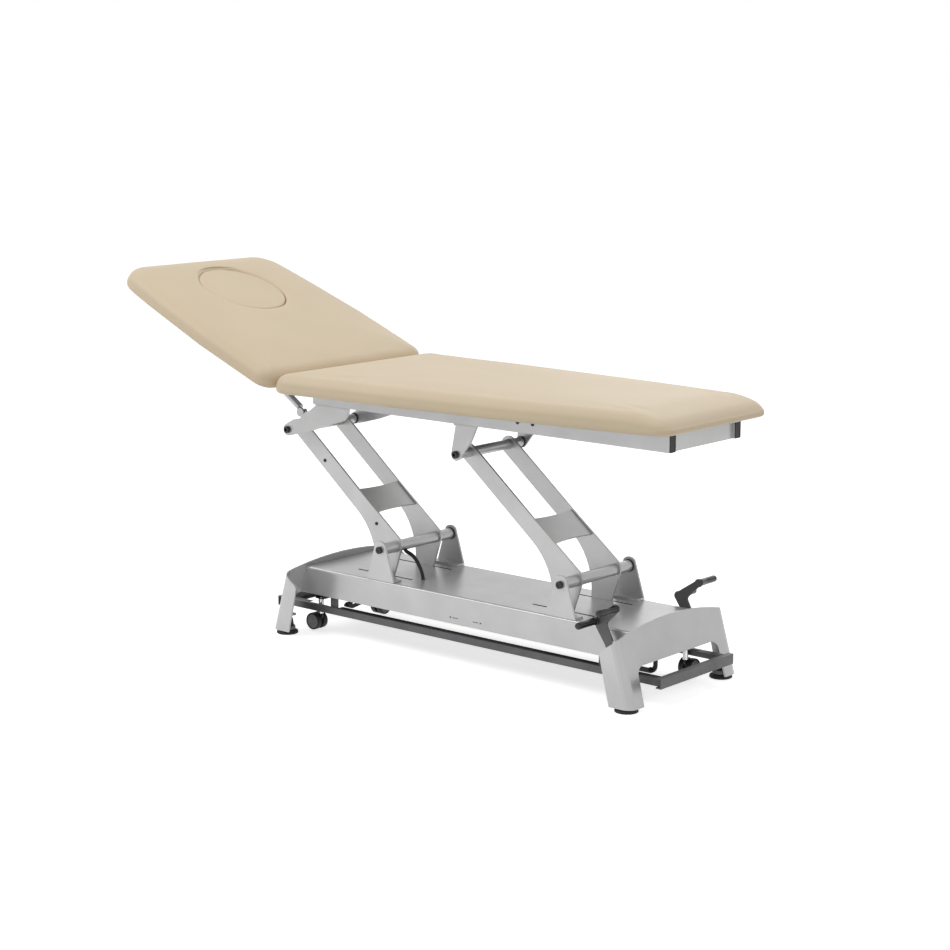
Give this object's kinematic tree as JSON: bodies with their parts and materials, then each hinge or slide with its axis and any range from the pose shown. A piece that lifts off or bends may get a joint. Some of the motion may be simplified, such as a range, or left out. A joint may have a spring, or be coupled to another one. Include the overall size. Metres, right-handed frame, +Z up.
{
  "type": "massage table",
  "caption": "Height-adjustable treatment couch: two-section cushion with tilting head part and face plug, parallelogram lift, low base with drop-down castors and a foot control loop.",
  "frame": {"origin": "bottom centre of the whole table, on the floor", "axes": "+X to the foot end, +Y to the far long side, +Z up"},
  "size_m": [1.967, 0.678, 1.0406],
  "materials": {
    "actuator_body": "plain aluminium",
    "actuator_rod": "bright rod",
    "base_channel": "light grey powder coat",
    "body_cushion": "smooth beige upholstery vinyl",
    "castor_beam_foot": "dark powder coat",
    "castor_beam_head": "dark powder coat",
    "castor_fork_foot_far": "black castor housing",
    "castor_fork_foot_near": "black castor housing",
    "castor_fork_head_far": "black castor housing",
    "castor_fork_head_near": "black castor housing",
    "castor_lever_far": "dark powder coat",
    "castor_lever_near": "dark powder coat",
    "castor_link": "dark powder coat",
    "castor_shaft_foot": "dark powder coat",
    "castor_shaft_head": "dark powder coat",
    "castor_wheels_foot_far": "black twin wheels",
    "castor_wheels_foot_near": "black twin wheels",
    "castor_wheels_head_far": "black twin wheels",
    "castor_wheels_head_near": "black twin wheels",
    "conduit": "black plastic",
    "control_box": "black plastic",
    "cross_member_foot": "light grey powder coat",
    "cross_member_head": "light grey powder coat",
    "end_panel_foot": "light grey powder coat",
    "end_panel_head": "light grey powder coat",
    "face_plug": "smooth beige upholstery vinyl",
    "foot_arm_cross_plate": "light grey powder coat",
    "foot_arm_far": "light grey powder coat",
    "foot_arm_lower_tube": "light grey powder coat",
    "foot_arm_near": "light grey powder coat",
    "foot_arm_upper_tube": "light grey powder coat",
    "gas_cylinder": "black cylinder",
    "gas_rod": "bright rod",
    "head_arm_cross_plate": "light grey powder coat",
    "head_arm_far": "light grey powder coat",
    "head_arm_lower_tube": "light grey powder coat",
    "head_arm_near": "light grey powder coat",
    "head_arm_upper_tube": "light grey powder coat",
    "head_cushion": "smooth beige upholstery vinyl",
    "head_frame": "light grey powder coat",
    "levelling_foot_foot_far": "black adjustable foot",
    "levelling_foot_foot_near": "black adjustable foot",
    "levelling_foot_head_far": "black adjustable foot",
    "levelling_foot_head_near": "black adjustable foot",
    "lift_bracket_foot_far": "light grey powder coat",
    "lift_bracket_foot_near": "light grey powder coat",
    "lift_bracket_head_far": "light grey powder coat",
    "lift_bracket_head_near": "light grey powder coat",
    "loop_bar_far": "dark powder coat",
    "loop_bar_near": "dark powder coat",
    "loop_end_foot": "dark powder coat",
    "loop_end_head": "dark powder coat",
    "loop_hanger_foot": "dark powder coat",
    "loop_hanger_head": "dark powder coat",
    "top_rail_far": "light grey powder coat",
    "top_rail_near": "light grey powder coat",
    "upper_bracket_foot_far": "light grey powder coat",
    "upper_bracket_foot_near": "light grey powder coat",
    "upper_bracket_head_far": "light grey powder coat",
    "upper_bracket_head_near": "light grey powder coat"
  },
  "bodies": {
    "base": {"base_channel": "base_channel", "end_panel_head": "end_panel_head", "end_panel_foot": "end_panel_foot", "lift_bracket_head_near": "lift_bracket_head_near", "lift_bracket_head_far": "lift_bracket_head_far", "lift_bracket_foot_near": "lift_bracket_foot_near", "lift_bracket_foot_far": "lift_bracket_foot_far", "actuator_body": "actuator_body", "control_box": "control_box", "conduit": "conduit"},
    "head_lifter": {"head_arm_near": "head_arm_near", "head_arm_far": "head_arm_far", "head_arm_cross_plate": "head_arm_cross_plate", "head_arm_lower_tube": "head_arm_lower_tube", "head_arm_upper_tube": "head_arm_upper_tube"},
    "foot_lifter": {"foot_arm_near": "foot_arm_near", "foot_arm_far": "foot_arm_far", "foot_arm_cross_plate": "foot_arm_cross_plate", "foot_arm_lower_tube": "foot_arm_lower_tube", "foot_arm_upper_tube": "foot_arm_upper_tube"},
    "top_frame": {"top_rail_near": "top_rail_near", "top_rail_far": "top_rail_far", "cross_member_head": "cross_member_head", "cross_member_foot": "cross_member_foot", "upper_bracket_head_near": "upper_bracket_head_near", "upper_bracket_head_far": "upper_bracket_head_far", "upper_bracket_foot_near": "upper_bracket_foot_near", "upper_bracket_foot_far": "upper_bracket_foot_far", "body_cushion": "body_cushion"},
    "head_section": {"head_frame": "head_frame", "head_cushion": "head_cushion"},
    "face_plug": {"face_plug": "face_plug"},
    "gas_cylinder": {"gas_cylinder": "gas_cylinder"},
    "gas_rod": {"gas_rod": "gas_rod"},
    "actuator_rod": {"actuator_rod": "actuator_rod"},
    "castor_lever": {"castor_shaft_foot": "castor_shaft_foot", "castor_lever_near": "castor_lever_near", "castor_lever_far": "castor_lever_far"},
    "castor_shaft_head": {"castor_shaft_head": "castor_shaft_head"},
    "castor_link": {"castor_link": "castor_link"},
    "castor_beam_head": {"castor_beam_head": "castor_beam_head"},
    "castor_beam_foot": {"castor_beam_foot": "castor_beam_foot"},
    "control_loop": {"loop_bar_near": "loop_bar_near", "loop_bar_far": "loop_bar_far", "loop_end_head": "loop_end_head", "loop_end_foot": "loop_end_foot"},
    "loop_hanger_head": {"loop_hanger_head": "loop_hanger_head"},
    "loop_hanger_foot": {"loop_hanger_foot": "loop_hanger_foot"},
    "castor_fork_head_near": {"castor_fork_head_near": "castor_fork_head_near"},
    "castor_wheels_head_near": {"castor_wheels_head_near": "castor_wheels_head_near"},
    "castor_fork_head_far": {"castor_fork_head_far": "castor_fork_head_far"},
    "castor_wheels_head_far": {"castor_wheels_head_far": "castor_wheels_head_far"},
    "castor_fork_foot_near": {"castor_fork_foot_near": "castor_fork_foot_near"},
    "castor_wheels_foot_near": {"castor_wheels_foot_near": "castor_wheels_foot_near"},
    "castor_fork_foot_far": {"castor_fork_foot_far": "castor_fork_foot_far"},
    "castor_wheels_foot_far": {"castor_wheels_foot_far": "castor_wheels_foot_far"},
    "levelling_foot_head_near": {"levelling_foot_head_near": "levelling_foot_head_near"},
    "levelling_foot_head_far": {"levelling_foot_head_far": "levelling_foot_head_far"},
    "levelling_foot_foot_near": {"levelling_foot_foot_near": "levelling_foot_foot_near"},
    "levelling_foot_foot_far": {"levelling_foot_foot_far": "levelling_foot_foot_far"}
  },
  "joints": [
    {"name": "lift", "type": "hinge", "parent": "base", "child": "head_lifter", "pos_m": [-0.05296, 0, 0.281], "axis": [0, 1, 0], "range_deg": [-35, 32], "deforming": ["conduit"]},
    {"name": "foot_lift", "type": "hinge", "parent": "base", "child": "foot_lifter", "pos_m": [0.59454, 0, 0.281], "axis": [0, 1, 0], "range_deg": [-35, 32]},
    {"name": "top_level", "type": "hinge", "parent": "head_lifter", "child": "top_frame", "pos_m": [-0.42571, 0, 0.58501], "axis": [0, 1, 0], "range_deg": [-32, 35]},
    {"name": "actuator_stroke", "type": "slide", "parent": "base", "child": "actuator_rod", "axis": [1, 0, 0], "range_m": [-0.0798, 0.08727]},
    {"name": "head_tilt", "type": "hinge", "parent": "top_frame", "child": "head_section", "pos_m": [-0.31056, 0, 0.74961], "axis": [0, 1, 0], "range_deg": [-31.9, 13.1]},
    {"name": "gas_spring_swivel", "type": "hinge", "parent": "top_frame", "child": "gas_cylinder", "pos_m": [-0.37601, -0.125, 0.64101], "axis": [0, 1, 0], "range_deg": [-34, 14]},
    {"name": "gas_spring_stroke", "type": "slide", "parent": "gas_cylinder", "child": "gas_rod", "axis": [-0.8317, 0, 0.5553], "range_m": [-0.0685, 0.0285]},
    {"name": "face_plug_lift", "type": "slide", "parent": "head_section", "child": "face_plug", "axis": [0.373, 0, 0.9278], "range_m": [0, 0.08]},
    {"name": "castor_lever_turn", "type": "hinge", "parent": "base", "child": "castor_lever", "pos_m": [0.79964, 0, 0.125], "axis": [0, -1, 0], "range_deg": [0, 30]},
    {"name": "castor_shaft_head_turn", "type": "hinge", "parent": "base", "child": "castor_shaft_head", "pos_m": [-0.30036, 0, 0.125], "axis": [0, -1, 0], "range_deg": [0, 30]},
    {"name": "castor_link_pivot", "type": "hinge", "parent": "castor_lever", "child": "castor_link", "pos_m": [0.80564, 0, 0.062], "axis": [0, -1, 0], "range_deg": [-30, 0]},
    {"name": "castor_beam_head_drop", "type": "slide", "parent": "base", "child": "castor_beam_head", "axis": [0, 0, -1], "range_m": [0, 0.0166]},
    {"name": "castor_beam_foot_drop", "type": "slide", "parent": "base", "child": "castor_beam_foot", "axis": [0, 0, -1], "range_m": [0, 0.0166]},
    {"name": "castor_swivel_head_near", "type": "hinge", "parent": "castor_beam_head", "child": "castor_fork_head_near", "pos_m": [-0.30396, -0.137, 0.063], "axis": [0, 0, 1], "continuous": true},
    {"name": "castor_wheel_head_near", "type": "hinge", "parent": "castor_fork_head_near", "child": "castor_wheels_head_near", "pos_m": [-0.32196, -0.137, 0.03], "axis": [0, -1, 0], "continuous": true},
    {"name": "castor_swivel_head_far", "type": "hinge", "parent": "castor_beam_head", "child": "castor_fork_head_far", "pos_m": [-0.30396, 0.137, 0.063], "axis": [0, 0, 1], "continuous": true},
    {"name": "castor_wheel_head_far", "type": "hinge", "parent": "castor_fork_head_far", "child": "castor_wheels_head_far", "pos_m": [-0.30396, 0.119, 0.03], "axis": [1, 0, 0], "continuous": true},
    {"name": "castor_swivel_foot_near", "type": "hinge", "parent": "castor_beam_foot", "child": "castor_fork_foot_near", "pos_m": [0.79604, -0.137, 0.063], "axis": [0, 0, 1], "continuous": true},
    {"name": "castor_wheel_foot_near", "type": "hinge", "parent": "castor_fork_foot_near", "child": "castor_wheels_foot_near", "pos_m": [0.77804, -0.137, 0.03], "axis": [0, -1, 0], "continuous": true},
    {"name": "castor_swivel_foot_far", "type": "hinge", "parent": "castor_beam_foot", "child": "castor_fork_foot_far", "pos_m": [0.79604, 0.137, 0.063], "axis": [0, 0, 1], "continuous": true},
    {"name": "castor_wheel_foot_far", "type": "hinge", "parent": "castor_fork_foot_far", "child": "castor_wheels_foot_far", "pos_m": [0.79604, 0.155, 0.03], "axis": [-1, 0, 0], "continuous": true},
    {"name": "loop_push", "type": "slide", "parent": "base", "child": "control_loop", "axis": [1, 0, 0], "range_m": [-0.006, 0.006], "stiffness_N_per_m": 1500},
    {"name": "loop_hanger_head_swing", "type": "hinge", "parent": "base", "child": "loop_hanger_head", "pos_m": [-0.24096, 0, 0.128], "axis": [0, 1, 0], "range_deg": [-6.6, 6.6]},
    {"name": "loop_hanger_foot_swing", "type": "hinge", "parent": "base", "child": "loop_hanger_foot", "pos_m": [0.73304, 0, 0.128], "axis": [0, 1, 0], "range_deg": [-6.6, 6.6]},
    {"name": "levelling_foot_head_near_turn", "type": "hinge", "parent": "base", "child": "levelling_foot_head_near", "pos_m": [-0.36696, -0.214, 0], "axis": [0, 0, 1], "continuous": true},
    {"name": "levelling_foot_head_far_turn", "type": "hinge", "parent": "base", "child": "levelling_foot_head_far", "pos_m": [-0.36696, 0.214, 0], "axis": [0, 0, 1], "continuous": true},
    {"name": "levelling_foot_foot_near_turn", "type": "hinge", "parent": "base", "child": "levelling_foot_foot_near", "pos_m": [0.85904, -0.214, 0], "axis": [0, 0, 1], "continuous": true},
    {"name": "levelling_foot_foot_far_turn", "type": "hinge", "parent": "base", "child": "levelling_foot_foot_far", "pos_m": [0.85904, 0.214, 0], "axis": [0, 0, 1], "continuous": true}
  ],
  "couplings": [
    {"joint": "foot_lift", "follows": "lift", "ratio": 1},
    {"joint": "top_level", "follows": "lift", "ratio": -1},
    {"joint": "actuator_stroke", "follows": "lift", "m_per_rad": -0.1427},
    {"joint": "gas_spring_swivel", "follows": "head_tilt", "ratio": 1.06},
    {"joint": "gas_spring_stroke", "follows": "head_tilt", "m_per_rad": 0.122},
    {"joint": "castor_shaft_head_turn", "follows": "castor_lever_turn", "ratio": 1},
    {"joint": "castor_link_pivot", "follows": "castor_lever_turn", "ratio": -1},
    {"joint": "castor_beam_head_drop", "follows": "castor_lever_turn", "m_per_rad": 0.0314},
    {"joint": "castor_beam_foot_drop", "follows": "castor_lever_turn", "m_per_rad": 0.0314},
    {"joint": "loop_hanger_head_swing", "follows": "loop_push", "rad_per_m": -18.519},
    {"joint": "loop_hanger_foot_swing", "follows": "loop_push", "rad_per_m": -18.519}
  ]
}
